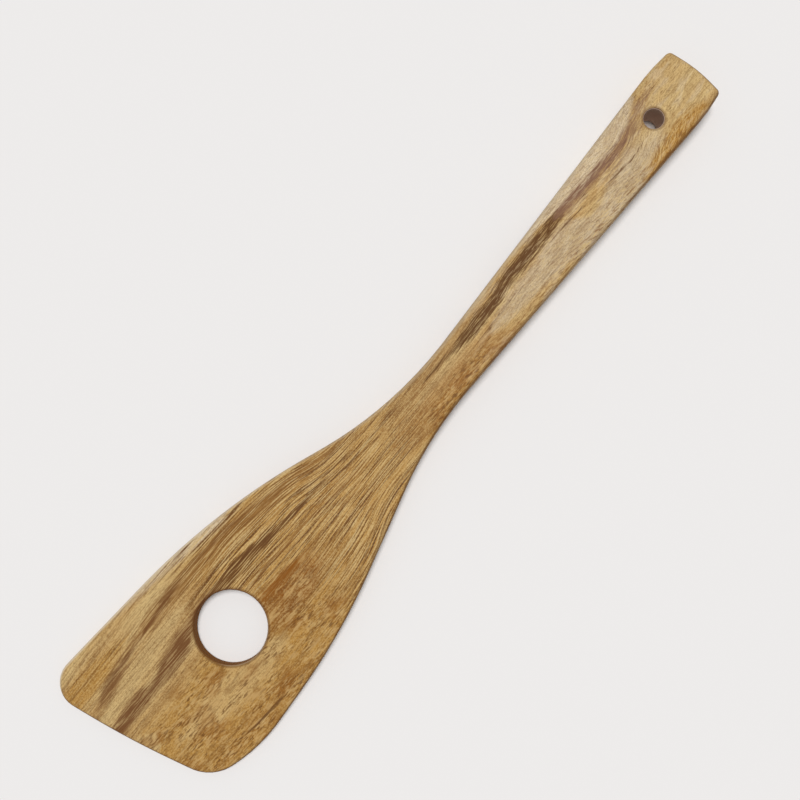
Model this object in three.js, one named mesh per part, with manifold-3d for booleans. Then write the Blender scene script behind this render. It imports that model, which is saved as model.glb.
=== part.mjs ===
// A wooden turner cut and carved from one board: a thin slanted blade with one large hole, a narrow neck and
// a thicker, crowned handle with a small hole to hang it by. Millimetres, +Z up. It lies on its flat back.
// X runs from the blade to the handle's end, and Y points to the blade's long side.

import * as THREE from "three";
import { mergeVertices } from "three/addons/utils/BufferGeometryUtils.js";
import Module from "manifold-3d";

// Sawn outline: lengths run from its sharp leading corner or its end, offsets from the handle's centre line
const SAWN_LENGTH = 302.3;
const LEADING_OFFSET = 40;
const TRAILING_OFFSET = 23.7;
const EDGE_SLANT_DEGREES = 12.3;
const EDGE_BOW = 1.2;
const CHEEK_FROM_CORNER = 33.2;
const CHEEK_OFFSET = 29.2;
const SHORT_SHOULDER_FROM_CORNER = 78.2;
const SHORT_SHOULDER_OFFSET = 26.5;
const LONG_SHOULDER_FROM_CORNER = 82.8;
const LONG_SHOULDER_OFFSET = 32.8;
const NECK_FROM_CORNER = 148.6;
const NECK_WIDTH = 15.2;
const SWELL_FROM_END = 10.2;
const SWELL_WIDTH = 24.4;
const END_WIDTH = 22.4;
const END_BOW = 0.7;
const END_LEAN = 0.6; // how much further the end reaches on its long side than on its short side

// Radii to which the sawn corners are rounded
const LEADING_RADIUS = 9;
const TRAILING_RADIUS = 15;
const CHEEK_RADIUS = 58;
const SHORT_SHOULDER_RADIUS = 240;
const LONG_SHOULDER_RADIUS = 250;
const NECK_RADIUS = 140;
const SWELL_RADIUS = 30;
const END_CORNER_MARGIN = 0.3; // how much larger the end's corners are than the round of the handle's edges

// Thickness above the flat back, from the working edge to the handle's end, and the rounding of the edges
const EDGE_THICKNESS = 2.8;
const ROOT_THICKNESS = 7;
const NECK_THICKNESS = 9.4;
const END_THICKNESS = 11.2;
const RAMP_FROM_CORNER = 118;
const RAMP_LENGTH = 52;
const HANDLE_CROWN = 0.8;
const BLADE_ROUND = 1.1;
const HANDLE_ROUND = 1.6;
const LARGEST_ROUND = 0.45; // share of the thickness that one rounded edge may take

// Drilled holes, with their rims lightly countersunk
const BLADE_HOLE_DIAMETER = 25;
const BLADE_HOLE_FROM_CORNER = 56.8;
const BLADE_HOLE_OFFSET = 3.6;
const HANGING_HOLE_DIAMETER = 7;
const HANGING_HOLE_FROM_END = 23.1;
const HANGING_HOLE_OFFSET = 0.65;
const RIM_EASE = 0.35;
const DRILL_OVERRUN = 3;

// Facets of the carved surface and of the holes
const BLADE_ROWS = 30;
const HANDLE_ROWS = 24;
const COLUMNS = 18;
const ROUND_STEPS = 4;
const BLADE_HOLE_SIDES = 56;
const HANGING_HOLE_SIDES = 28;
const TURN_WEIGHT = 20; // millimetres of straight run that get as many facets as one radian of bend
const WELD = 1e-4;

const { clamp, degToRad, lerp, smoothstep } = THREE.MathUtils;
const EDGE_SLOPE = Math.tan(degToRad(EDGE_SLANT_DEGREES));
const RAMP_END = RAMP_FROM_CORNER + RAMP_LENGTH;
const ROWS = BLADE_ROWS + HANDLE_ROWS;

// The sawn corners, counterclockwise from the trailing end of the working edge

function corner(x, y, radius) {
  return { point: new THREE.Vector2(x, y), radius };
}

// A corner midway between two others that bows their straight run outwards once it is fully rounded,
// which leaves three quarters of its height
function bowBetween(from, to, bow) {
  const along = to.point.clone().sub(from.point);
  const outward = new THREE.Vector2(along.y, -along.x).normalize();
  const middle = from.point.clone().lerp(to.point, 1 / 2).addScaledVector(outward, bow / (3 / 4));
  return corner(middle.x, middle.y, Infinity);
}

const endX = SAWN_LENGTH - END_BOW;
const swellX = SAWN_LENGTH - SWELL_FROM_END;
const trailingX = (LEADING_OFFSET + TRAILING_OFFSET) * EDGE_SLOPE;
const endRadius = HANDLE_ROUND + END_CORNER_MARGIN;

const trailing = corner(trailingX, -TRAILING_OFFSET, TRAILING_RADIUS);
const cheek = corner(CHEEK_FROM_CORNER, -CHEEK_OFFSET, CHEEK_RADIUS);
const shortShoulder = corner(SHORT_SHOULDER_FROM_CORNER, -SHORT_SHOULDER_OFFSET, SHORT_SHOULDER_RADIUS);
const shortNeck = corner(NECK_FROM_CORNER, -NECK_WIDTH / 2, NECK_RADIUS);
const shortSwell = corner(swellX, -SWELL_WIDTH / 2, SWELL_RADIUS);
const shortEnd = corner(endX - END_LEAN, -END_WIDTH / 2, endRadius);
const longEnd = corner(endX, END_WIDTH / 2, endRadius);
const longSwell = corner(swellX, SWELL_WIDTH / 2, SWELL_RADIUS);
const longNeck = corner(NECK_FROM_CORNER, NECK_WIDTH / 2, NECK_RADIUS);
const longShoulder = corner(LONG_SHOULDER_FROM_CORNER, LONG_SHOULDER_OFFSET, LONG_SHOULDER_RADIUS);
const leading = corner(0, LEADING_OFFSET, LEADING_RADIUS);
const corners = [
  trailing, cheek, shortShoulder, shortNeck, shortSwell, shortEnd,
  bowBetween(shortEnd, longEnd, END_BOW),
  longEnd, longSwell, longNeck, longShoulder, leading,
  bowBetween(leading, trailing, EDGE_BOW),
];

// The finished outline: straight runs and arcs

// A corner's arc in two halves, with a radius that takes no more than half of the run on either side
function roundedCorner(at, index) {
  const back = corners.at(index - 1).point.clone().sub(at.point);
  const ahead = corners[(index + 1) % corners.length].point.clone().sub(at.point);
  const halfTurn = Math.tan((Math.PI - back.angleTo(ahead)) / 2);
  const reach = Math.min(at.radius * halfTurn, back.length() / 2, ahead.length() / 2);
  const radius = reach / halfTurn;
  const clockwise = back.cross(ahead) > 0;
  const start = at.point.clone().add(back.setLength(reach));
  const finish = at.point.clone().add(ahead.setLength(reach));
  const centre = at.point.clone().add(back.add(ahead).setLength(Math.hypot(reach, radius)));
  const angleTo = (point) => Math.atan2(point.y - centre.y, point.x - centre.x);
  const arc = (from, to) =>
    new THREE.EllipseCurve(centre.x, centre.y, radius, radius, angleTo(from), angleTo(to), clockwise);
  return { start, finish, firstHalf: arc(start, at.point), secondHalf: arc(at.point, finish) };
}

const arcs = corners.map(roundedCorner);

// The lines and arcs from the middle of one corner to the middle of another further round
function runBetween(first, last) {
  const pieces = [];
  for (let index = corners.indexOf(first); corners[index] !== last; index = (index + 1) % corners.length) {
    const here = arcs[index];
    const next = arcs[(index + 1) % corners.length];
    pieces.push(here.secondHalf, new THREE.LineCurve(here.finish, next.start), next.firstHalf);
  }
  return pieces.filter((piece) => piece.getLength() > WELD);
}

// Points spread along a run, closer together in its bends, each with the outline's outward normal.
// The run's last point is left to the run that follows it.
function spread(pieces, steps) {
  const weights = pieces.map((piece) => {
    const length = piece.getLength();
    return piece.isEllipseCurve ? length + TURN_WEIGHT * length / piece.xRadius : length;
  });
  const total = weights.reduce((sum, weight) => sum + weight, 0);
  const samples = [];
  let index = 0;
  let passed = 0;
  for (let step = 0; step < steps; step++) {
    const wanted = total * step / steps;
    while (wanted > passed + weights[index]) {
      passed += weights[index];
      index += 1;
    }
    const along = (wanted - passed) / weights[index];
    const tangent = pieces[index].getTangent(along);
    samples.push({ point: pieces[index].getPoint(along), normal: new THREE.Vector2(tangent.y, -tangent.x) });
  }
  return samples;
}

const outline = [
  ...spread(runBetween(trailing, shortNeck), BLADE_ROWS),
  ...spread(runBetween(shortNeck, shortEnd), HANDLE_ROWS),
  ...spread(runBetween(shortEnd, longEnd), COLUMNS),
  ...spread(runBetween(longEnd, longNeck), HANDLE_ROWS),
  ...spread(runBetween(longNeck, leading), BLADE_ROWS),
  ...spread(runBetween(leading, trailing), COLUMNS),
];

// The carved faces

// How far the board has changed from blade, 0, to handle, 1
function handleShare(x) {
  return smoothstep(x, RAMP_FROM_CORNER, RAMP_END);
}

// Height of the upper face: the blade swells from its working edge to its root, the ramp climbs to the neck,
// and the handle thickens towards its end and is crowned from side to side
function topHeight({ x, y }) {
  const rootDistance = RAMP_FROM_CORNER - LEADING_OFFSET * EDGE_SLOPE;
  const behindEdge = clamp(x - (LEADING_OFFSET - y) * EDGE_SLOPE, 0, rootDistance);
  const swell = Math.sin(Math.PI / 2 * behindEdge / rootDistance);
  const blade = lerp(EDGE_THICKNESS, ROOT_THICKNESS, swell);
  const handle = lerp(NECK_THICKNESS, END_THICKNESS, (x - RAMP_END) / (SAWN_LENGTH - RAMP_END));
  const crown = HANDLE_CROWN * (y / (SWELL_WIDTH / 2)) ** 2;
  return lerp(blade, handle - crown, handleShare(x));
}

function edgeRound(point) {
  const round = lerp(BLADE_ROUND, HANDLE_ROUND, handleShare(point.x));
  return Math.min(round, LARGEST_ROUND * topHeight(point));
}

// The outline drawn in to where the rounded edges meet the flat of the faces
for (const sample of outline) {
  sample.round = edgeRound(sample.point);
  sample.inset = sample.point.clone().addScaledVector(sample.normal, -sample.round);
  sample.top = topHeight(sample.inset);
}

// Points on one rounded edge from the back to the upper face
function edgeSection({ normal, inset, round, top }) {
  const section = [];
  for (const [height, quarter] of [[round, -1], [top - round, 0]]) {
    for (let step = 0; step <= ROUND_STEPS; step++) {
      const angle = Math.PI / 2 * (quarter + step / ROUND_STEPS);
      const place = inset.clone().addScaledVector(normal, round * Math.cos(angle));
      section.push(new THREE.Vector3(place.x, place.y, height + round * Math.sin(angle)));
    }
  }
  return section;
}

// Where each of an end's points lies between its two sides, and how far it bulges from the straight line there
function endShape(points) {
  const chord = points.at(-1).clone().sub(points[0]);
  return points.map((point) => {
    const share = point.clone().sub(points[0]).dot(chord) / chord.lengthSq();
    const bulge = point.clone().sub(points[0]).addScaledVector(chord, -share);
    return { share, bulge };
  });
}

// Rows of points over the upper face, from the working edge to the handle's end and from short side to long
function upperFace() {
  const inset = (index) => outline.at(index % outline.length).inset;
  const columns = [...Array(COLUMNS + 1).keys()];
  const edge = endShape(columns.map((column) => inset(outline.length - column)));
  const end = endShape(columns.map((column) => inset(ROWS + column)));
  const rows = [];
  for (let row = 0; row <= ROWS; row++) {
    const along = row / ROWS;
    const shortSide = inset(row);
    const longSide = inset(ROWS + COLUMNS + ROWS - row);
    rows.push(columns.map((column) => {
      const place = shortSide.clone().lerp(longSide, lerp(edge[column].share, end[column].share, along));
      place.addScaledVector(edge[column].bulge, 1 - along).addScaledVector(end[column].bulge, along);
      return new THREE.Vector3(place.x, place.y, topHeight(place));
    }));
  }
  return rows;
}

// One closed mesh of the flat back, the rounded edges and the upper face
function boardGeometry() {
  const triangles = [];
  const quad = (a, b, c, d) => triangles.push(a, b, c, a, c, d);

  const sections = outline.map(edgeSection);
  sections.forEach((section, index) => {
    const next = sections[(index + 1) % sections.length];
    for (let step = 1; step < section.length; step++) {
      quad(section[step - 1], next[step - 1], next[step], section[step]);
    }
  });

  const back = sections.map((section) => section[0]);
  for (const [a, b, c] of THREE.ShapeUtils.triangulateShape(back, [])) {
    triangles.push(back[c], back[b], back[a]);
  }

  // The quads are split so that no triangle lies flat in a rounded corner of the outline
  const rows = upperFace();
  for (let row = 0; row < ROWS; row++) {
    for (let column = 0; column < COLUMNS; column++) {
      const [a, b] = [rows[row][column], rows[row + 1][column]];
      const [c, d] = [rows[row + 1][column + 1], rows[row][column + 1]];
      const towardsCorner = (row < ROWS / 2) === (column < COLUMNS / 2);
      towardsCorner ? quad(a, b, c, d) : quad(b, c, d, a);
    }
  }
  return new THREE.BufferGeometry().setFromPoints(triangles);
}

// Solids that are cut from each other

const wasm = await Module();
wasm.setup();

function solidOf(geometry) {
  const bare = geometry.clone();
  bare.deleteAttribute("normal");
  bare.deleteAttribute("uv");
  const welded = mergeVertices(bare, WELD);
  const vertProperties = new Float32Array(welded.attributes.position.array);
  const triVerts = new Uint32Array(welded.index.array);
  return new wasm.Manifold(new wasm.Mesh({ numProp: 3, vertProperties, triVerts }));
}

function geometryOf(solid) {
  const mesh = solid.getMesh();
  const geometry = new THREE.BufferGeometry();
  geometry.setAttribute("position", new THREE.BufferAttribute(mesh.vertProperties, 3));
  geometry.setIndex(new THREE.BufferAttribute(mesh.triVerts, 1));
  return geometry;
}

// The tool that cuts one hole: a drill that opens at 45 degrees at both rims, where it is as wide as the hole
// and its ease. Its upper half is sheared to follow the slope of the upper face.
function holeCutter(x, y, diameter, sides) {
  const radius = diameter / 2;
  const top = topHeight({ x, y });
  const slopeX = (topHeight({ x: x + radius, y }) - topHeight({ x: x - radius, y })) / diameter;
  const slopeY = (topHeight({ x, y: y + radius }) - topHeight({ x, y: y - radius })) / diameter;
  const mouth = radius + RIM_EASE + DRILL_OVERRUN;
  const profile = [
    [0, -DRILL_OVERRUN], [mouth, -DRILL_OVERRUN], [radius, RIM_EASE],
    [radius, top - RIM_EASE], [mouth, top + DRILL_OVERRUN], [0, top + DRILL_OVERRUN],
  ];
  const cutter = new THREE.LatheGeometry(profile.map((point) => new THREE.Vector2(...point)), sides);
  cutter.rotateX(Math.PI / 2);
  const places = cutter.attributes.position;
  for (let index = 0; index < places.count; index++) {
    const height = places.getZ(index);
    if (height > top / 2) {
      places.setZ(index, height + slopeX * places.getX(index) + slopeY * places.getY(index));
    }
  }
  return cutter.translate(x, y, 0);
}

const bladeHole = holeCutter(
  BLADE_HOLE_FROM_CORNER, BLADE_HOLE_OFFSET, BLADE_HOLE_DIAMETER, BLADE_HOLE_SIDES,
);
const hangingHole = holeCutter(
  SAWN_LENGTH - HANGING_HOLE_FROM_END, HANGING_HOLE_OFFSET, HANGING_HOLE_DIAMETER, HANGING_HOLE_SIDES,
);
const carved = solidOf(boardGeometry()).subtract(solidOf(bladeHole)).subtract(solidOf(hangingHole));

// The origin lies under the middle of the finished spatula
const geometry = geometryOf(carved);
geometry.computeBoundingBox();
const middle = geometry.boundingBox.getCenter(new THREE.Vector3());
geometry.translate(-middle.x, -middle.y, -geometry.boundingBox.min.z);
geometry.computeVertexNormals();

const oiledWood = new THREE.MeshStandardMaterial({ color: 0xb88a50, roughness: 0.5, metalness: 0 });
oiledWood.name = "oiled_wood";
const spatula = new THREE.Mesh(geometry, oiledWood);
spatula.name = "spatula";

const model = new THREE.Group();
model.add(spatula);

export default model;
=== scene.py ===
"""Looks of a wooden turner: its smoothed and oiled wood, its floor, the light and the camera."""

import math
from typing import NamedTuple

import bmesh
import bpy
from bpy.props import FloatProperty, FloatVectorProperty, PointerProperty
from mathutils import Matrix, Vector


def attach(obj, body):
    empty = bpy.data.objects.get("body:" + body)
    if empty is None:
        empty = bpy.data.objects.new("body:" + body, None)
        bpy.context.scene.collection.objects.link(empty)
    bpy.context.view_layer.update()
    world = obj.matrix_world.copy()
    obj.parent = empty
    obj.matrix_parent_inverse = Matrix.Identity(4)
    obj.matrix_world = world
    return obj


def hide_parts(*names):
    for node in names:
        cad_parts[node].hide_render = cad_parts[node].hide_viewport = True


bl_info = {
    "name": "Wooden Turner",
    "version": (1, 0, 0),
    "blender": (4, 5, 0),
    "location": "3D View > Sidebar > Turner",
    "description": "Dresses a carved wooden turner in figured, oiled wood and sets it on a pale floor",
    "category": "Object",
}

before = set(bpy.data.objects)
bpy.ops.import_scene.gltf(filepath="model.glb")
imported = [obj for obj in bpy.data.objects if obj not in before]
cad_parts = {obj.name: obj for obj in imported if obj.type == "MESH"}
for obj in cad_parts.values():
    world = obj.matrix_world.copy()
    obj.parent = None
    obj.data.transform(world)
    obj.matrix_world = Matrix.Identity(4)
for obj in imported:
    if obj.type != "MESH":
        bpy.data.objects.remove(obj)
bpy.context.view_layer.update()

NODE = "spatula"
BODY = "root"
SLOT = "oiled_wood"
MILLIMETRES = 1000.0

# Mesh points closer than the first are joined, and edges shorter than the second go, in metres
WELD = 5e-7
SLIVER = 1e-5

# The board, in millimetres: x along the turner from its middle, y across it
HALF_LENGTH = 160.0
HALF_WIDTH = 40.0
AXIS_Y = -5.2
MIDDLE_THICKNESS = 7.0
THICKENING = 0.027
FIGURE_LEAN = 0.4
GRAIN_SLANT = 0.08
WIDEST_BAND = 12.0
HIDDEN = -3.0

# Kinds of wood, each with the two places along the turner between which it begins or ends
BLADE_ENDS = (-75.0, -45.0)
ROOT_BEGINS = (-105.0, -80.0)
ROOT_ENDS = (-30.0, 20.0)
HANDLE_BEGINS = (5.0, 60.0)
END_BEGINS = (80.0, 110.0)
NECK_SIDE_BEGINS = (-15.0, 10.0)
NECK_SIDE_ENDS = (24.0, 54.0)
CURL_TURNS = (106.0, 122.0)
CURL_CALMS = (128.0, 142.0)

# The same across the turner, towards its short side, and how far the mottled wood's edge swings
BLADE_SIDE_EDGE = (-5.0, 3.0)
NECK_SIDE_EDGE = (-8.0, -3.0)
HANDLE_SIDE_BEGINS = (-9.0, -13.0)
BLADE_SIDE_SWING = 8.0
NECK_SIDE_SWING = 6.0

# Growth lines run closer together in the neck, and wave along the handle
GATHER = ((-150, 1), (-95, 1), (-53, 1.12), (-20, 1.7), (5, 1.75), (40, 1.3), (150, 1.2))
MOST_GATHER = 2.0
HANDLE_WAVE = (
    (14, 0.2), (23, -0.4), (32, -0.8), (45, -0.8), (53, 0.2), (62, 0.3), (79, 0.5), (88, -0.1),
    (96, -0.4), (105, -1.2), (111, -1.5), (117, -0.3), (120, 0.9), (126, 1.9), (133, 2.5), (145, 2.6),
)
WAVE_SHARE = 0.8
LANE_WANDER = 4.0
LANE_RIPPLE = 0.3
HANDLE_RIPPLE = 1.2


class Pattern(NamedTuple):
    """A cloudy pattern: its length along the wood and its width, in millimetres, and how fine it is."""

    length: float
    width: float
    detail: float = 2.0
    roughness: float = 0.5
    distortion: float = 0.0


class Mark(NamedTuple):
    """A colour that a pattern brings: the pattern's value where it starts and where it is full."""

    colour: str
    starts: float
    full: float
    strength: float = 1.0


class Hole(NamedTuple):
    """A drilled hole: its place and radius, how dark the painted shade on its rim is, and the colour of
    its oiled wall.
    """

    x: float
    y: float
    radius: float
    rim_shade: float
    wall: str
    strength: float


class Band(NamedTuple):
    """A band in the figure: its colour and strength, how ragged and soft its edge is, how stringy it is
    inside, the line of its middle and its reach to either side, below zero where it is hidden."""

    colour: str
    strength: float
    ragged: float
    soft: float
    stringy: float
    path: tuple
    reach: tuple


# Patterns of the figure, and the colours that they bring. A pattern's values lie about its middle.
MIDDLE = 0.5
WANDER = Pattern(length=60.0, width=15.0)
RIPPLE = Pattern(length=7.0, width=4.0)
BROAD_BANDS = Pattern(length=110.0, width=4.5)
LIGHT_BANDS = (Mark("pale", 0.45, 0.68),)
DARK_BANDS = (Mark("brown", 0.5, 0.3),)
LINES = Pattern(length=55.0, width=0.64, detail=1.0, roughness=0.6)
LINE_MARKS = (Mark("brown", 0.48, 0.6, 0.35), Mark("dark", 0.56, 0.62, 0.75))
HAIRS = Pattern(length=12.0, width=0.34, detail=1.0)
HAIR_MARKS = (Mark("dark", 0.55, 0.62, 0.65), Mark("pale", 0.46, 0.38, 0.6))
STRANDS = Pattern(length=20.0, width=0.8, detail=3.0, roughness=0.65)
FRAY = Pattern(length=4.5, width=0.45, roughness=0.6)
FRAY_MARKS = (Mark("dark", 0.55, 0.66),)
FINEST = Pattern(length=0.6, width=0.45, detail=1.0)
FINEST_MARKS = (Mark("brown", 0.5, 0.62, 0.32), Mark("pale", 0.5, 0.38, 0.25))
MOTTLE_BORDER = Pattern(length=20.0, width=8.0)
MOTTLE_CLOUDS = Pattern(length=13.0, width=7.0)
MOTTLE_CLOUD_MARKS = (Mark("russet", 0.5, 0.65, 0.5),)
PATCHES = Pattern(length=5.5, width=1.7, detail=3.0, roughness=0.6, distortion=0.25)
PATCH_MARKS = (Mark("brown", 0.54, 0.64, 0.4), Mark("golden", 0.48, 0.38, 0.7))
DASH_CROWDS = Pattern(length=9.0, width=4.0)
DASH_CROWDING = (0.4, 0.6)
DASHES = Pattern(length=2.4, width=0.5, detail=1.0)
DASH_MARKS = (Mark("dark", 0.55, 0.63), Mark("pale", 0.45, 0.38, 0.6))
HANDLE_CLOUDS = Pattern(length=9.0, width=2.8)
HANDLE_CLOUD_MARKS = (Mark("brown", 0.5, 0.66, 0.22), Mark("cream", 0.5, 0.34, 0.3))
STROKES = Pattern(length=3.0, width=0.55, detail=1.0)
STROKE_MARKS = (Mark("brown", 0.55, 0.64, 0.3), Mark("pale", 0.46, 0.36, 0.3))
FALLING_LEAN = -0.2
RISING_LEAN = 0.5
PORE_CROWDS = Pattern(length=25.0, width=6.0)
PORE_CROWDING = (0.35, 0.7)
PORES = Pattern(length=5.0, width=0.9)
PORE_CORE = 0.05
PORE_EDGE = 0.3
LEAST_PORE = 0.02

# How strong each kind of figure is, and how much it gains or loses from one kind of wood to the next
ROOT_AMBER = 0.7
MOTTLED_AMBER = 0.85
BAND_BROWN = 0.45
BAND_END_LOSS = 0.35
FINE_LINES = 0.45
FINE_ROOT_GAIN = 0.95
FINE_MOTTLED_LOSS = 0.75
FINE_HANDLE_LOSS = 0.45
FEWEST_DASHES = 0.14
CROWDED_DASHES = 0.52
CURL_END_LOSS = 0.5
FRAYED = 0.3
FRAYED_ROOT_LOSS = 0.2
PORE_STRENGTH = 0.5

# Edges of the bands: how much the strands and the fray move them, and where the fibres leave gaps
STRAND_SHARE = 0.75
FRAY_SHARE = 0.5
FIBRE_GAPS = (0.5, 0.4)

# Edges of the turner, marked by how far the surface faces up, to the long side or to the ends
# Painted shade on the rounded edges, strongest where they face the short side and weaker along the handle
# before its end
ARRIS = (0.0, 0.35)
SIDE_SHADE = 0.3
ARRIS_SHADE = 0.7
SHORT_SIDE_FACES = (0.35, -0.2)
LEAST_EDGE_SHADE = 0.05
SHORT_SIDE_SHADE = 0.65
HANDLE_SHADE_LOSS = 0.45
EDGE_SHADE_MARKS = (Mark("dark", 0.985, 0.72),)
END_GRAIN_MARKS = (Mark("brown", 0.4, 0.9, 0.35),)
# Painted highlight on the edges facing the long side, strongest on the blade and weaker near the handle's
# end
HIGHLIGHT_FACES = (0.1, 0.45)
EDGE_HIGHLIGHT = 0.3
HIGHLIGHT_BLADE_GAIN = 0.45
HIGHLIGHT_END_LOSS = 0.3
HIGHLIGHT_MARKS = (Mark("cream", 0.1, 0.5),)

# The two holes, and how far past its radius each hole's painted rim shade and oiled wall fade, in
# millimetres
HOLES = (
    Hole(x=-95.1, y=-1.6, radius=12.5, rim_shade=0.55, wall="russet", strength=0.55),
    Hole(x=127.3, y=-4.5, radius=3.5, rim_shade=0.45, wall="blush", strength=0.75),
)
RIM_SHADE_FADES = (1.15, 0.55)
WALL_FADES = (0.2, 0.02)

# The surface: what the lines, pores and drilled walls add to its roughness and its height
LINE_ROUGHNESS = 0.18
PORE_ROUGHNESS = 0.2
WALL_ROUGHNESS = 0.4
LINE_HEIGHT = 0.5
HAIR_HEIGHT = 0.5
PORE_DEPTH = 0.8
RELIEF_STRENGTH = 0.6

# Broad tints, under the growth lines
TINTS = {
    "long corner": Band(
        colour="amber", strength=0.8, ragged=6, soft=4, stringy=0.2,
        path=((-150, 23.5), (-120, 24)),
        reach=((-150, 6.5), (-132, 5), (-112, HIDDEN)),
    ),
    # Pale wood along the blade's long side, lightened further by a painted highlight on that edge
    "pale long side and highlight": Band(
        colour="cream", strength=0.88, ragged=3.5, soft=3, stringy=0.25,
        path=((-125, 32), (-98, 29.4), (-80, 26.6), (-66, 23), (-50, 18.5)),
        reach=((-140, HIDDEN), (-121, 0.8), (-98, 2.8), (-80, 3.4), (-66, 1.6), (-54, HIDDEN)),
    ),
    "between the streaks": Band(
        colour="pale", strength=0.75, ragged=4, soft=3, stringy=0.3,
        path=((-150, 10.5), (-130, 13.5), (-105, 15.5)),
        reach=((-150, 3.4), (-132, 4.6), (-108, 4), (-92, HIDDEN)),
    ),
    "mottled middle": Band(
        colour="pale", strength=0.6, ragged=8, soft=5, stringy=0.2,
        path=((-140, -12), (-120, -14), (-90, -17)),
        reach=((-140, HIDDEN), (-126, 6), (-108, 8), (-92, 6), (-80, HIDDEN)),
    ),
    "working edge": Band(
        colour="pale", strength=0.85, ragged=5, soft=3, stringy=0.2,
        path=((-150, -5), (-138, -5)),
        reach=((-150, 8), (-144, 6), (-134, HIDDEN)),
    ),
    "trailing corner": Band(
        colour="russet", strength=0.58, ragged=6, soft=4, stringy=0.2,
        path=((-150, -18.5), (-136, -21)),
        reach=((-150, 9.5), (-141, 6.5), (-131, HIDDEN)),
    ),
    "short edge": Band(
        colour="russet", strength=0.4, ragged=7, soft=4, stringy=0.2,
        path=((-140, -28), (-120, -28.5), (-90, -29), (-70, -29)),
        reach=((-148, HIDDEN), (-138, 3.5), (-126, 4), (-108, 5), (-92, 4), (-78, HIDDEN)),
    ),
    "behind the hole": Band(
        colour="russet", strength=0.83, ragged=8, soft=5, stringy=0.3,
        path=((-90, -6), (-78, -8), (-62, -10)),
        reach=((-98, HIDDEN), (-88, 7), (-76, 9), (-62, 5), (-48, HIDDEN)),
    ),
    "root edge": Band(
        colour="brown", strength=0.3, ragged=6, soft=4, stringy=0.4,
        path=((-80, -23), (-60, -21), (-45, -18)),
        reach=((-84, HIDDEN), (-68, 5), (-50, 4), (-38, HIDDEN)),
    ),
    "handle start": Band(
        colour="russet", strength=0.48, ragged=6, soft=4, stringy=0.4,
        path=((-10, -7), (20, -8), (40, -12.5)),
        reach=((-20, HIDDEN), (0, 8), (22, 8), (42, 3.2), (56, HIDDEN)),
    ),
    "handle shoulder": Band(
        colour="brown", strength=0.48, ragged=4, soft=3, stringy=0.3,
        path=((0, 1.5), (50, 4.4)),
        reach=((-20, HIDDEN), (0, 4), (32, 3.4), (46, 3), (64, HIDDEN)),
    ),
    "handle core": Band(
        colour="fawn", strength=0.85, ragged=4, soft=3, stringy=0.2,
        path=((24, -6), (60, -7), (78, -8.5), (91, -12), (104, -10.5), (114, -9), (130, -8)),
        reach=(
            (28, HIDDEN), (45, 4), (60, 5.4), (70, 6), (79, 8.4), (91, 4.8), (104, 7.5), (118, 6),
            (126, 3), (134, HIDDEN),
        ),
    ),
    "handle short side": Band(
        colour="brown", strength=0.56, ragged=5, soft=3, stringy=0.5,
        path=((30, -13.6), (60, -14.2), (84, -15)),
        reach=((24, HIDDEN), (36, 2.6), (70, 2.6), (92, HIDDEN)),
    ),
    "below the streak": Band(
        colour="brown", strength=0.38, ragged=4, soft=3, stringy=0.3,
        path=((34, -3), (60, -2.5), (80, -2), (100, -2.8), (118, -2.4)),
        reach=((28, HIDDEN), (44, 1.4), (80, 1.6), (104, 1.6), (120, HIDDEN)),
    ),
    "cream strip": Band(
        colour="cream", strength=0.95, ragged=3, soft=1.6, stringy=0.1,
        path=((60, 5.6), (80, 4.2), (100, 4), (125, 6)),
        reach=((50, HIDDEN), (62, 0.8), (80, 3.2), (95, 5.5), (115, 5.6), (123, 4.2), (134, HIDDEN)),
    ),
    "golden end": Band(
        colour="pale", strength=0.6, ragged=5, soft=5, stringy=0.2,
        path=((110, -4), (150, -4)),
        reach=((110, HIDDEN), (126, 9), (150, 12)),
    ),
    "orange edge": Band(
        colour="orange", strength=0.98, ragged=7, soft=3, stringy=0.4,
        path=((100, -15.5), (121, -15.7), (132, -15), (150, -16)),
        reach=((100, HIDDEN), (111, 2.6), (121, 5), (134, 4.8), (142, 2.6), (150, HIDDEN)),
    ),
}

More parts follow.
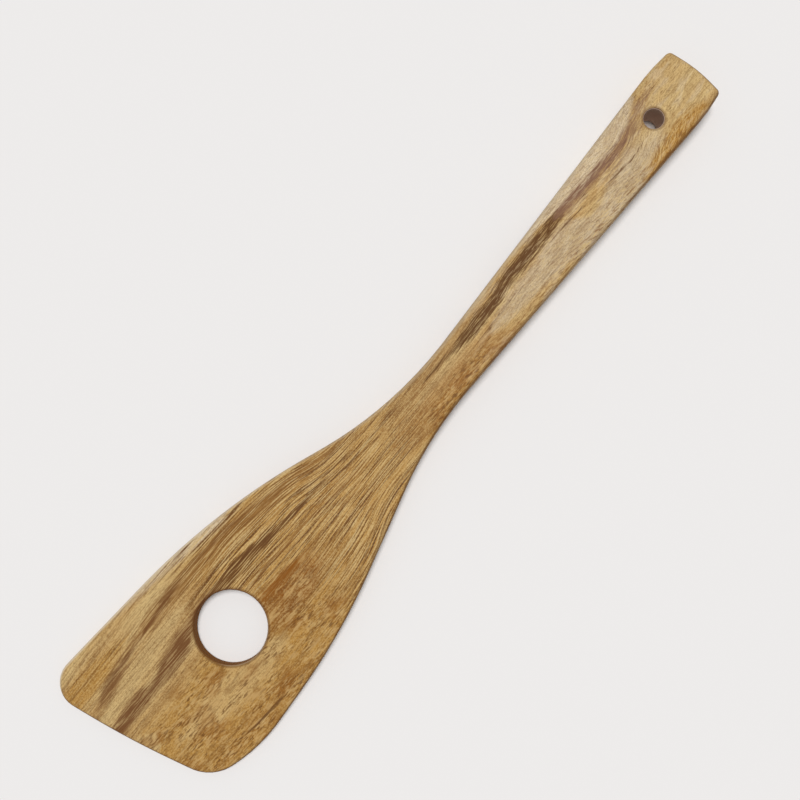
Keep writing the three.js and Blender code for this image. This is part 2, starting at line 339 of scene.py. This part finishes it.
# Streaks, over the growth lines
STREAKS = {
    "brown flank": Band(
        colour="brown", strength=0.76, ragged=9, soft=4, stringy=0.75,
        path=(
            (-130, 21), (-110, 21.4), (-85, 21), (-70, 19), (-53, 16), (-37, 12.5), (-20, 8.5), (0, 4),
        ),
        reach=(
            (-134, HIDDEN), (-122, 2), (-104, 4.4), (-85, 4.2), (-72, 5.1), (-60, 5), (-50, 4.2),
            (-37, 3.6), (-20, 2), (5, HIDDEN),
        ),
    ),
    "upper blade": Band(
        colour="walnut", strength=0.82, ragged=4.5, soft=2.6, stringy=0.45,
        path=(
            (-150, 13.3), (-143, 15.8), (-136, 17.6), (-126, 19.2), (-110, 20.8), (-95, 22.3),
            (-73, 21), (-20, 9),
        ),
        reach=(
            (-150, 1), (-144, 2), (-137, 3.4), (-129, 3), (-119, 2), (-102, 2.2), (-92, 1.4),
            (-73, 1.3), (-15, HIDDEN),
        ),
    ),
    "middle blade": Band(
        colour="walnut", strength=0.94, ragged=4.5, soft=2.6, stringy=0.4,
        path=(
            (-149, 5.4), (-141, 6.2), (-133, 6.6), (-127, 6.1), (-119, 6.7), (-112, 7.6), (-105, 9.2),
            (-97, 11.2), (-90, 11.4), (-79, 10),
        ),
        reach=(
            (-150, 3.7), (-137, 4), (-130, 3.5), (-126, 3.1), (-119, 4.3), (-111, 4.6), (-104, 3),
            (-92, 2), (-80, 0.8), (-72, HIDDEN),
        ),
    ),
    "neck lines": Band(
        colour="dark", strength=0.88, ragged=6, soft=1, stringy=0.72,
        path=(
            (-92, 10.4), (-79, 9.8), (-66, 8.6), (-53, 6.9), (-37, 6), (-20, 3.4), (0, 1.5), (10, 0.5),
        ),
        reach=(
            (-100, HIDDEN), (-88, 2.8), (-79, 2.9), (-66, 2.5), (-53, 1.2), (-37, 0.8), (-20, 0.3),
            (0, HIDDEN),
        ),
    ),
    "lower neck": Band(
        colour="brown", strength=0.75, ragged=6, soft=1, stringy=0.7,
        path=((-80, 3), (-60, 2), (-37, 0), (-20, -2), (0, -3.5)),
        reach=((-90, HIDDEN), (-80, 0.8), (-40, 1), (-20, 0.6), (0, HIDDEN)),
    ),
    "handle": Band(
        colour="umber", strength=0.93, ragged=4.5, soft=1.2, stringy=0.5,
        path=HANDLE_WAVE,
        reach=(
            (4, HIDDEN), (12, 1), (22, 1.3), (31, 2.5), (45, 2.7), (54, 2.7), (63, 2.8), (80, 2.5),
            (84, 1), (87, HIDDEN),
        ),
    ),
    "handle heart": Band(
        colour="umber", strength=0.8, ragged=7, soft=0.8, stringy=0.6,
        path=HANDLE_WAVE,
        reach=((16, HIDDEN), (28, 0.8), (45, 1), (63, 0.8), (80, 1.1), (84, HIDDEN)),
    ),
    "handle end": Band(
        colour="mauve", strength=0.98, ragged=5, soft=2, stringy=0.4,
        path=HANDLE_WAVE,
        reach=((76, HIDDEN), (86, 2.9), (94, 2.9), (105, 2.9), (112, 2.4), (118, 1), (126, HIDDEN)),
    ),
    "hole shade": Band(
        colour="mauve", strength=0.7, ragged=6, soft=3, stringy=0.5,
        path=((112, -1), (118, -0.6), (124, 0.8), (128, 1.8), (140, 2.6)),
        reach=((106, HIDDEN), (114, 2), (120, 3.4), (126, 3.2), (132, 2.2), (138, 1.2), (146, HIDDEN)),
    ),
    "handle shade": Band(
        colour="mauve", strength=0.45, ragged=5, soft=2.5, stringy=0.5,
        path=((98, -4), (108, -4.6), (118, -3.6), (126, -1)),
        reach=((94, HIDDEN), (104, 1.2), (112, 1.8), (120, 1.8), (128, HIDDEN)),
    ),
    "end lines": Band(
        colour="brown", strength=0.8, ragged=5, soft=0.8, stringy=0.4,
        path=((124, 7.4), (134, 7.2), (142, 7.6), (150, 8)),
        reach=((122, HIDDEN), (130, 0.8), (140, 1.1), (146, 0.5), (150, HIDDEN)),
    ),
    "handle line": Band(
        colour="dark", strength=0.8, ragged=2.5, soft=0.7, stringy=0.3,
        path=(
            (34, -5.2), (51, -4.8), (62, -3.8), (79, -3.3), (88, -4.4), (102, -6.2), (112, -7),
            (123, -5.6),
        ),
        reach=(
            (24, HIDDEN), (34, 0.5), (51, 0.5), (62, 0.2), (72, 0.1), (80, 0.6), (96, 0.4), (110, 0.8),
            (116, 0.5), (126, HIDDEN),
        ),
    ),
    "handle edge": Band(
        colour="brown", strength=0.6, ragged=6, soft=1.2, stringy=0.5,
        path=((20, -13.5), (60, -14.6), (80, -15), (110, -15.5), (150, -17)),
        reach=(
            (14, HIDDEN), (25, 0.6), (60, 0.4), (78, -1.4), (102, -1.6), (112, 0.1), (120, 1), (140, 1),
            (149, HIDDEN),
        ),
    ),
    "red patch": Band(
        colour="russet", strength=0.95, ragged=5, soft=2.2, stringy=0.25,
        path=((-90, -3.4), (-75, -3.8), (-50, -5)),
        reach=((-88, HIDDEN), (-80, 2), (-72, 2.4), (-62, 1.2), (-50, HIDDEN)),
    ),
    "lower dash": Band(
        colour="dark", strength=0.85, ragged=2, soft=0.7, stringy=0.2,
        path=((-122, -27.6), (-110, -28.8), (-98, -29.8)),
        reach=((-125, HIDDEN), (-119, 0.5), (-104, 0.7), (-96, HIDDEN)),
    ),
}

# Camera and light
PICTURE_RIGHT = Vector((0.6297, -0.7769, 0.0))
SENSOR_WIDTH = 36.0
KEY_DISTANCE = 1.0
NEAREST_SEEN = 0.01
FLOOR_DROP = 0.0003
FLOOR_HALF = 6.0
FLOOR_ROUGHNESS = 0.9
FLOOR_SHINE = 0.1


def display(red, green, blue):
    """The colour that a screen shows for these three values out of 255."""
    def linear(value):
        share = value / 255
        return share / 12.92 if share <= 0.04045 else ((share + 0.055) / 1.055) ** 2.4
    return linear(red), linear(green), linear(blue)


def colour_property(name, description, default):
    """A colour that can be picked in the panel."""
    return FloatVectorProperty(
        name=name, description=description, default=default, size=3, min=0.0, max=1.0, subtype="COLOR",
    )


class WoodFinish(bpy.types.PropertyGroup):
    """Colours and surface of the oiled wood."""

    golden: colour_property("Golden", "Heartwood of the blade", display(192, 156, 101))
    pale: colour_property("Pale", "Light bands beside the blade's long side", display(206, 177, 123))
    amber: colour_property("Amber", "Mottled wood of the blade's short side", display(177, 131, 61))
    brown: colour_property("Brown", "Darker growth lines and bands", display(126, 84, 40))
    # Dark also colours the painted shade on the edges and on the holes' rims
    dark: colour_property("Dark", "Darkest streaks", display(92, 56, 28))
    walnut: colour_property("Walnut", "Streaks of the blade", display(107, 67, 37))
    umber: colour_property("Umber", "Streak along the handle", display(80, 43, 10))
    mauve: colour_property("Mauve", "Faded streak near the handle's end", display(124, 90, 71))
    russet: colour_property("Russet", "Reddish patch beside the blade's hole", display(132, 78, 20))
    # Cream also colours the painted highlight on the long side's edges
    cream: colour_property("Cream", "Pale wood of the handle", display(214, 197, 168))
    fawn: colour_property("Fawn", "Dull pale wood in the middle of the handle", display(196, 178, 149))
    orange: colour_property("Orange", "Warm wood along the handle's lower edge", display(180, 130, 54))
    blush: colour_property("Blush", "Wall of the hanging hole", display(210, 184, 168))
    pore: colour_property("Pores", "Open pores, seen as short dashes", display(92, 56, 24))
    sheen: colour_property("Sheen", "Warm tint of the oil's sheen", display(255, 221, 175))
    roughness: FloatProperty(
        name="Roughness", description="How dull the oil's satin sheen is", default=0.46, min=0.0, max=1.0,
        subtype="FACTOR",
    )
    shine: FloatProperty(
        name="Shine", description="Strength of the sheen", default=0.16, min=0.0, max=1.0,
        subtype="FACTOR",
    )
    relief: FloatProperty(
        name="Relief", description="Depth of the open pores and growth lines", default=0.00012, min=0.0,
        subtype="DISTANCE", unit="LENGTH",
    )
    rim_angle: FloatProperty(
        name="Rim angle", description="Edges that turn more than this stay crisp",
        default=math.radians(38), subtype="ANGLE", unit="ROTATION",
    )


class StageSetting(bpy.types.PropertyGroup):
    """Floor, light and camera."""

    floor: colour_property("Floor", "Pale floor", display(234, 232, 231))
    sky: FloatProperty(name="Soft light", description="Light from all around", default=0.25, min=0.0)
    backdrop: FloatProperty(
        name="Backdrop", description="How bright the space behind looks", default=0.82, min=0.0,
    )
    key: FloatProperty(
        name="Key light", description="Strength of the broad light above the turner", default=2.5,
        min=0.0,
    )
    key_spread: FloatProperty(
        name="Light spread", description="A wider spread softens the shadows",
        default=math.radians(24), subtype="ANGLE", unit="ROTATION",
    )
    key_tilt: FloatProperty(
        name="Light tilt", description="How far the light comes from straight above",
        default=math.radians(10), subtype="ANGLE", unit="ROTATION",
    )
    key_turn: FloatProperty(
        name="Light turn", description="Side that the light comes from, anticlockwise from the handle",
        default=math.radians(30), subtype="ANGLE", unit="ROTATION",
    )
    eye: FloatVectorProperty(
        name="Camera", description="Where the camera stands", default=(-0.01216, -0.0179, 0.299),
        subtype="TRANSLATION", unit="LENGTH",
    )
    aim: FloatVectorProperty(
        name="Aim", description="Point on the floor in the middle of the picture",
        default=(-0.00021, 0.00285, 0), subtype="TRANSLATION", unit="LENGTH",
    )
    lens: FloatProperty(
        name="Lens", description="Focal length in millimetres", default=39.15, unit="CAMERA",
    )


def worked(operation, swapped=False):
    """An arithmetic method of Field."""
    def work(field, other):
        first, second = (other, field) if swapped else (field, other)
        return field.recipe.math(operation, first, second)
    return work


class Field:
    """A number that varies over the wood. Arithmetic on it adds shader nodes."""

    def __init__(self, recipe, socket):
        self.recipe = recipe
        self.socket = socket

    __add__ = __radd__ = worked("ADD")
    __mul__ = __rmul__ = worked("MULTIPLY")
    __sub__ = worked("SUBTRACT")
    __rsub__ = worked("SUBTRACT", swapped=True)
    __truediv__ = worked("DIVIDE")

    def size(self):
        return self.recipe.math("ABSOLUTE", self)


class Recipe:
    """The nodes of one material, added one step at a time."""

    def __init__(self, name):
        self.material = bpy.data.materials.new(name)
        self.material.use_nodes = True
        tree = self.material.node_tree
        self.nodes = tree.nodes
        self.links = tree.links
        self.shader = next(node for node in tree.nodes if node.type == "BSDF_PRINCIPLED")

    def feed(self, socket, value):
        value = value.socket if isinstance(value, Field) else value
        if isinstance(value, bpy.types.NodeSocket):
            self.links.new(value, socket)
        elif socket.type == "RGBA":
            socket.default_value = (*value, 1.0)
        else:
            socket.default_value = value

    def add(self, kind, settings=(), inputs=()):
        node = self.nodes.new(kind)
        for name, value in dict(settings).items():
            setattr(node, name, value)
        for name, value in dict(inputs).items():
            self.feed(node.inputs[name], value)
        return node

    def math(self, operation, *values):
        node = self.add("ShaderNodeMath", {"operation": operation}, enumerate(values))
        return Field(self, node.outputs[0])

    def place(self):
        """The three object coordinates, in millimetres."""
        coordinates = self.add("ShaderNodeTexCoord")
        scaled = self.add(
            "ShaderNodeVectorMath", {"operation": "SCALE"},
            {"Vector": coordinates.outputs["Object"], "Scale": MILLIMETRES},
        )
        split = self.add("ShaderNodeSeparateXYZ", inputs={"Vector": scaled.outputs["Vector"]})
        return [Field(self, split.outputs[axis]) for axis in "XYZ"]

    def facing(self):
        """How far the surface faces along each axis."""
        coordinates = self.add("ShaderNodeTexCoord")
        split = self.add("ShaderNodeSeparateXYZ", inputs={"Vector": coordinates.outputs["Normal"]})
        return [Field(self, split.outputs[axis]) for axis in "XYZ"]

    def spread(self, pattern, x, y, z):
        """The place, measured in a pattern's lengths and widths."""
        parts = {"X": x / pattern.length, "Y": y / pattern.width, "Z": z / pattern.width}
        return self.add("ShaderNodeCombineXYZ", inputs=parts).outputs["Vector"]

    def cloudy(self, pattern, x, y, z):
        """A pattern of soft clouds, from 0 to 1."""
        node = self.add("ShaderNodeTexNoise", inputs={
            "Vector": self.spread(pattern, x, y, z), "Scale": 1.0, "Detail": pattern.detail,
            "Roughness": pattern.roughness, "Distortion": pattern.distortion,
        })
        return Field(self, node.outputs["Fac"])

    def specks(self, pattern, x, y, z):
        """Distance to the nearest of many scattered points."""
        vector = self.spread(pattern, x, y, z)
        node = self.add("ShaderNodeTexVoronoi", inputs={"Vector": vector, "Scale": 1.0})
        return Field(self, node.outputs["Distance"])

    def curve(self, x, points, low, high):
        """A smooth line through given points, each an x and the value there from low to high."""
        share = self.math("DIVIDE", x + HALF_LENGTH, 2 * HALF_LENGTH)
        node = self.add("ShaderNodeFloatCurve", inputs={"Value": share})
        line = node.mapping.curves[0]
        while len(line.points) < len(points):
            line.points.new(0.5, 0.5)
        for knot, (place, value) in zip(line.points, points):
            knot.location = ((place + HALF_LENGTH) / (2 * HALF_LENGTH), (value - low) / (high - low))
            knot.handle_type = "AUTO_CLAMPED"
        node.mapping.extend = "HORIZONTAL"
        node.mapping.update()
        return Field(self, node.outputs["Value"]) * (high - low) + low

    def rise(self, value, starts, full):
        """A smooth step from 0 where the value starts to 1 where it is full, which may be lower."""
        node = self.add("ShaderNodeMapRange", {"interpolation_type": "SMOOTHSTEP"}, {
            "Value": value, "From Min": starts, "From Max": full, "To Min": 0.0, "To Max": 1.0,
        })
        return Field(self, node.outputs["Result"])

    def blend(self, share, first, second):
        node = self.add("ShaderNodeMix", {"data_type": "RGBA"})
        ends = [socket for socket in node.inputs if socket.type == "RGBA"]
        self.feed(node.inputs["Factor"], share)
        self.feed(ends[0], first)
        self.feed(ends[1], second)
        return next(socket for socket in node.outputs if socket.type == "RGBA")

    def marked(self, colour, value, marks, finish, where=1.0):
        """The colour with the marks of a pattern laid over it."""
        for mark in marks:
            share = self.rise(value, mark.starts, mark.full) * where * mark.strength
            colour = self.blend(share, colour, getattr(finish, mark.colour))
        return colour


class Figure:
    """The fields that the wood's figure is drawn from."""

    def __init__(self, wood):
        self.wood = wood
        self.x, y, z = wood.place()
        x = self.x
        self.depth = z - (MIDDLE_THICKNESS + THICKENING * x)
        self.across = y + FIGURE_LEAN * self.depth
        self.slanted = self.across + GRAIN_SLANT * x

        # Zones along the turner
        self.on_blade = 1 - wood.rise(x, *BLADE_ENDS)
        self.on_root = wood.rise(x, *ROOT_BEGINS) * (1 - wood.rise(x, *ROOT_ENDS))
        self.on_handle = wood.rise(x, *HANDLE_BEGINS)
        self.at_end = wood.rise(x, *END_BEGINS)

        # Growth lines, which wander a little and wave along the handle
        wave = wood.curve(x, HANDLE_WAVE, -HALF_WIDTH, HALF_WIDTH) * self.on_handle
        lane = (self.across - AXIS_Y - WAVE_SHARE * wave) * wood.curve(x, GATHER, 0.0, MOST_GATHER)
        wander = self.drawn(WANDER, lane) - MIDDLE
        ripple = self.drawn(RIPPLE, lane) - MIDDLE
        lane = lane + LANE_WANDER * wander + (LANE_RIPPLE + HANDLE_RIPPLE * self.on_handle) * ripple
        self.bands = self.drawn(BROAD_BANDS, lane)
        self.lines = self.drawn(LINES, lane)
        self.hairs = self.drawn(HAIRS, lane)
        self.strands = self.drawn(STRANDS, lane)
        self.fray = self.drawn(FRAY, lane)
        self.fibres = self.hairs + self.on_handle * (self.fray - self.hairs)
        self.finest = self.drawn(FINEST, self.across)

        # The mottled short side of the blade and the neck, where the grain is interlocked
        border = self.drawn(MOTTLE_BORDER, self.across) - MIDDLE
        blade_side = 1 - wood.rise(self.across + BLADE_SIDE_SWING * border, *BLADE_SIDE_EDGE)
        neck_side = 1 - wood.rise(self.across + NECK_SIDE_SWING * border, *NECK_SIDE_EDGE)
        neck_side = neck_side * (1 - wood.rise(x, *NECK_SIDE_ENDS)) * wood.rise(x, *NECK_SIDE_BEGINS)
        self.mottled = blade_side * self.on_blade + neck_side

        # Curly grain in the handle: it falls towards the end as far as the hole, then rises past it
        self.rising = wood.rise(x, *CURL_TURNS)
        self.falling = self.on_handle * (1 - self.rising)

        # Painted shade on the rims of the drilled holes, and their walls
        self.rim_shades = []
        self.walls = []
        for hole in HOLES:
            away = wood.math("POWER", x - hole.x, 2.0) + wood.math("POWER", y - hole.y, 2.0)
            past = wood.math("SQRT", away) - hole.radius
            self.rim_shades.append(wood.rise(past, *RIM_SHADE_FADES))
            self.walls.append(wood.rise(past, *WALL_FADES))

    def drawn(self, pattern, across):
        """A pattern drawn out along the turner."""
        return self.wood.cloudy(pattern, self.x, across, self.depth)


def ground(wood, figure, finish):
    """The wood's broad colours."""
    colour = wood.marked(finish.golden, figure.bands, LIGHT_BANDS, finish)
    colour = wood.blend(figure.on_root * ROOT_AMBER, colour, finish.amber)
    colour = wood.blend(figure.mottled * MOTTLED_AMBER, colour, finish.amber)
    browner = BAND_BROWN - BAND_END_LOSS * figure.at_end
    colour = wood.marked(colour, figure.bands, DARK_BANDS, finish, browner)
    return painted(wood, figure, finish, colour, TINTS)


def growth_lines(wood, figure, finish, colour):
    """Fine dark and light lines along the grain."""
    fine = FINE_LINES + FINE_ROOT_GAIN * figure.on_root
    fine = fine * (1 - FINE_MOTTLED_LOSS * figure.mottled) * (1 - FINE_HANDLE_LOSS * figure.on_handle)
    colour = wood.marked(colour, figure.lines, LINE_MARKS, finish, fine)
    colour = wood.marked(colour, figure.hairs, HAIR_MARKS, finish, fine)
    return wood.marked(colour, figure.finest, FINEST_MARKS, finish)


def mottling(wood, figure, finish, colour):
    """Patches and short dashes of interlocked grain."""
    clouds = figure.drawn(MOTTLE_CLOUDS, figure.across)
    colour = wood.marked(colour, clouds, MOTTLE_CLOUD_MARKS, finish, figure.mottled)
    patches = figure.drawn(PATCHES, figure.slanted)
    colour = wood.marked(colour, patches, PATCH_MARKS, finish, figure.mottled)
    crowd = wood.rise(figure.drawn(DASH_CROWDS, figure.slanted), *DASH_CROWDING)
    dashed = figure.mottled * (FEWEST_DASHES + CROWDED_DASHES * crowd)
    dashes = figure.drawn(DASHES, figure.slanted)
    return wood.marked(colour, dashes, DASH_MARKS, finish, dashed)


def curly_grain(wood, figure, finish, colour):
    """Clouds and feathery strokes in the handle. The strokes lean one way and then the other."""
    clouds = figure.drawn(HANDLE_CLOUDS, figure.across)
    colour = wood.marked(colour, clouds, HANDLE_CLOUD_MARKS, finish, figure.on_handle)
    lively = 1 - CURL_END_LOSS * wood.rise(figure.x, *CURL_CALMS)
    lively = lively * (1 + wood.rise(figure.across, *HANDLE_SIDE_BEGINS))
    for lean, there in ((FALLING_LEAN, figure.falling), (RISING_LEAN, figure.rising)):
        along = figure.x + lean * figure.across
        turned = figure.across - lean * figure.x
        strokes = wood.cloudy(STROKES, along, turned, figure.depth)
        colour = wood.marked(colour, strokes, STROKE_MARKS, finish, there * lively)
    return colour


def painted(wood, figure, finish, colour, bands):
    """The colour with bands laid over it."""
    uneven = STRAND_SHARE * (figure.strands - MIDDLE) + FRAY_SHARE * (figure.fray - MIDDLE)
    gaps = wood.rise(figure.fibres, *FIBRE_GAPS)
    for band in bands.values():
        middle = wood.curve(figure.x, band.path, -HALF_WIDTH, HALF_WIDTH)
        reach = wood.curve(figure.x, band.reach, -WIDEST_BAND, WIDEST_BAND)
        within = reach - (figure.across - middle).size() + band.ragged * uneven
        share = wood.rise(within, 0.0, band.soft) * (1 - band.stringy * gaps) * band.strength
        colour = wood.blend(share, colour, getattr(finish, band.colour))
    return colour


def open_pores(wood, figure):
    """Short dashes along the grain, which are dots on the ends."""
    crowd = wood.rise(figure.drawn(PORE_CROWDS, figure.across), *PORE_CROWDING)
    specks = wood.specks(PORES, figure.x, figure.slanted, figure.depth)
    return 1 - wood.rise(specks, PORE_CORE * crowd, LEAST_PORE + PORE_EDGE * crowd)


def edges_walls_and_painted_light(wood, figure, finish, colour):
    """Painted shade on the edges, most on the short side, and on the holes' rims; a painted highlight on
    the long side's edges. End grain and drilled walls drink more oil.
    """
    facing_end, facing_side, facing_up = wood.facing()
    level = facing_up.size()
    # Painted shade on the rounded edges, strongest on the short side
    edge_shade = LEAST_EDGE_SHADE + SHORT_SIDE_SHADE * wood.rise(facing_side, *SHORT_SIDE_FACES)
    edge_shade = edge_shade * (SIDE_SHADE + ARRIS_SHADE * wood.rise(level, *ARRIS))
    edge_shade = edge_shade * (1 - HANDLE_SHADE_LOSS * (figure.on_handle - figure.at_end))
    colour = wood.marked(colour, level, EDGE_SHADE_MARKS, finish, edge_shade)
    colour = wood.marked(colour, facing_end.size(), END_GRAIN_MARKS, finish)
    # Painted highlight on the edges facing the long side
    highlight = EDGE_HIGHLIGHT + HIGHLIGHT_BLADE_GAIN * figure.on_blade - HIGHLIGHT_END_LOSS * figure.rising
    highlight = highlight * wood.rise(facing_up, *HIGHLIGHT_FACES)
    colour = wood.marked(colour, facing_side, HIGHLIGHT_MARKS, finish, highlight)
    # Painted shade on each hole's rim, then the colour of its oiled wall
    for hole, rim_shade, wall in zip(HOLES, figure.rim_shades, figure.walls):
        colour = wood.blend(rim_shade * hole.rim_shade, colour, finish.dark)
        colour = wood.blend(wall * hole.strength, colour, getattr(finish, hole.wall))
    return colour


def oiled_wood(finish):
    """Figured hardwood with streaks, growth lines and open pores under a satin oil."""
    wood = Recipe(SLOT)
    figure = Figure(wood)
    pores = open_pores(wood, figure)
    colour = ground(wood, figure, finish)
    colour = growth_lines(wood, figure, finish, colour)
    colour = mottling(wood, figure, finish, colour)
    colour = curly_grain(wood, figure, finish, colour)
    colour = painted(wood, figure, finish, colour, STREAKS)
    frayed = FRAYED - FRAYED_ROOT_LOSS * figure.on_root
    colour = wood.marked(colour, figure.fray, FRAY_MARKS, finish, frayed)
    colour = wood.blend(pores * PORE_STRENGTH, colour, finish.pore)
    # Painted shade and highlight on the edges, painted shade on the hole rims, and browner end grain
    colour = edges_walls_and_painted_light(wood, figure, finish, colour)

    shader = wood.shader.inputs
    wood.feed(shader["Base Color"], colour)
    wood.feed(shader["Specular IOR Level"], finish.shine)
    wood.feed(shader["Specular Tint"], finish.sheen)
    rough = LINE_ROUGHNESS * (figure.lines - MIDDLE) + PORE_ROUGHNESS * pores
    for wall in figure.walls:
        rough = rough + WALL_ROUGHNESS * wall
    wood.feed(shader["Roughness"], finish.roughness + rough)
    height = HAIR_HEIGHT * figure.hairs + LINE_HEIGHT * figure.lines - PORE_DEPTH * pores
    bump = wood.add("ShaderNodeBump", inputs={
        "Strength": RELIEF_STRENGTH, "Distance": finish.relief, "Height": height,
    })
    wood.feed(shader["Normal"], bump.outputs["Normal"])
    return wood.material


class SPATULA_OT_wood(bpy.types.Operator):
    """Smooths a copy of the carved turner and gives it the oiled wood"""

    bl_idname = "spatula.wood"
    bl_label = "Oiled Turner"

    def execute(self, context):
        finish = context.scene.wood_finish
        mesh = bpy.data.meshes.new("turner")
        shape = bmesh.new()
        shape.from_mesh(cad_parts[NODE].data)
        bmesh.ops.remove_doubles(shape, verts=shape.verts, dist=WELD)
        bmesh.ops.dissolve_degenerate(shape, edges=shape.edges, dist=SLIVER)
        for face in shape.faces:
            face.smooth = True
            face.material_index = 0
        for edge in shape.edges:
            edge.smooth = edge.calc_face_angle(0.0) < finish.rim_angle
        shape.to_mesh(mesh)
        shape.free()

        turner = bpy.data.objects.new("turner", mesh)
        context.scene.collection.objects.link(turner)
        even = turner.modifiers.new("Even shading", "WEIGHTED_NORMAL")
        even.keep_sharp = True
        mesh.materials.append(oiled_wood(finish))
        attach(turner, BODY)
        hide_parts(NODE)
        return {"FINISHED"}


class SPATULA_OT_stage(bpy.types.Operator):
    """Lays a pale floor and sets the light and the camera"""

    bl_idname = "spatula.stage"
    bl_label = "Floor, Light and Camera"

    def execute(self, context):
        setting = context.scene.stage_setting
        lay_floor(context.scene, setting)
        set_light(context.scene, setting)
        set_camera(context.scene, setting)
        return {"FINISHED"}


def lay_floor(scene, setting):
    mesh = bpy.data.meshes.new("floor")
    shape = bmesh.new()
    bmesh.ops.create_grid(shape, x_segments=1, y_segments=1, size=FLOOR_HALF)
    bmesh.ops.translate(shape, verts=shape.verts, vec=(0, 0, -FLOOR_DROP))
    shape.to_mesh(mesh)
    shape.free()
    floor = bpy.data.objects.new("floor", mesh)
    scene.collection.objects.link(floor)
    pale = Recipe("pale_floor")
    pale.feed(pale.shader.inputs["Base Color"], setting.floor)
    pale.feed(pale.shader.inputs["Roughness"], FLOOR_ROUGHNESS)
    pale.feed(pale.shader.inputs["Specular IOR Level"], FLOOR_SHINE)
    mesh.materials.append(pale.material)


def set_light(scene, setting):
    scene.world = bpy.data.worlds.new("studio")
    scene.world.use_nodes = True
    sky = next(node for node in scene.world.node_tree.nodes if node.type == "BACKGROUND")
    sky.inputs["Color"].default_value = (1.0, 1.0, 1.0, 1.0)
    tree = scene.world.node_tree
    path = tree.nodes.new("ShaderNodeLightPath")
    strength = tree.nodes.new("ShaderNodeMapRange")
    strength.inputs["To Min"].default_value = setting.sky
    strength.inputs["To Max"].default_value = setting.backdrop
    tree.links.new(path.outputs["Is Camera Ray"], strength.inputs["Value"])
    tree.links.new(strength.outputs["Result"], sky.inputs["Strength"])

    lamp = bpy.data.lights.new("key", "SUN")
    lamp.angle = setting.key_spread
    lamp.energy = setting.key
    key = bpy.data.objects.new("key", lamp)
    tilted = Matrix.Rotation(setting.key_tilt, 3, "Y") @ Vector((0, 0, 1))
    towards = Matrix.Rotation(setting.key_turn, 3, "Z") @ tilted
    key.location = towards * KEY_DISTANCE
    key.rotation_mode = "QUATERNION"
    key.rotation_quaternion = towards.to_track_quat("Z", "Y")
    scene.collection.objects.link(key)


def set_camera(scene, setting):
    scene.view_settings.view_transform = "Standard"
    camera = bpy.data.cameras.new("camera")
    camera.sensor_width = SENSOR_WIDTH
    camera.lens = setting.lens
    camera.clip_start = NEAREST_SEEN
    view = bpy.data.objects.new("camera", camera)
    view.location = setting.eye
    sight = (Vector(setting.aim) - Vector(setting.eye)).normalized()
    down = Vector((0, 0, -1))
    upright = Matrix((PICTURE_RIGHT, -PICTURE_RIGHT.cross(-down), -down)).transposed()
    view.rotation_mode = "QUATERNION"
    view.rotation_quaternion = down.rotation_difference(sight) @ upright.to_quaternion()
    scene.collection.objects.link(view)
    scene.camera = view


class SPATULA_PT_panel(bpy.types.Panel):
    """Lists what dresses the turner"""

    bl_idname = "SPATULA_PT_panel"
    bl_label = "Wooden Turner"
    bl_space_type = "VIEW_3D"
    bl_region_type = "UI"
    bl_category = "Turner"

    def draw(self, context):
        for operator, group in (
            (SPATULA_OT_wood, context.scene.wood_finish),
            (SPATULA_OT_stage, context.scene.stage_setting),
        ):
            self.layout.operator(operator.bl_idname)
            for name in group.__annotations__:
                self.layout.prop(group, name)


CLASSES = (WoodFinish, StageSetting, SPATULA_OT_wood, SPATULA_OT_stage, SPATULA_PT_panel)


def register():
    for item in CLASSES:
        bpy.utils.register_class(item)
    bpy.types.Scene.wood_finish = PointerProperty(type=WoodFinish)
    bpy.types.Scene.stage_setting = PointerProperty(type=StageSetting)


def unregister():
    del bpy.types.Scene.stage_setting
    del bpy.types.Scene.wood_finish
    for item in reversed(CLASSES):
        bpy.utils.unregister_class(item)


def main():
    register()
    bpy.ops.spatula.wood()
    bpy.ops.spatula.stage()


if __name__ == "__main__":
    main()
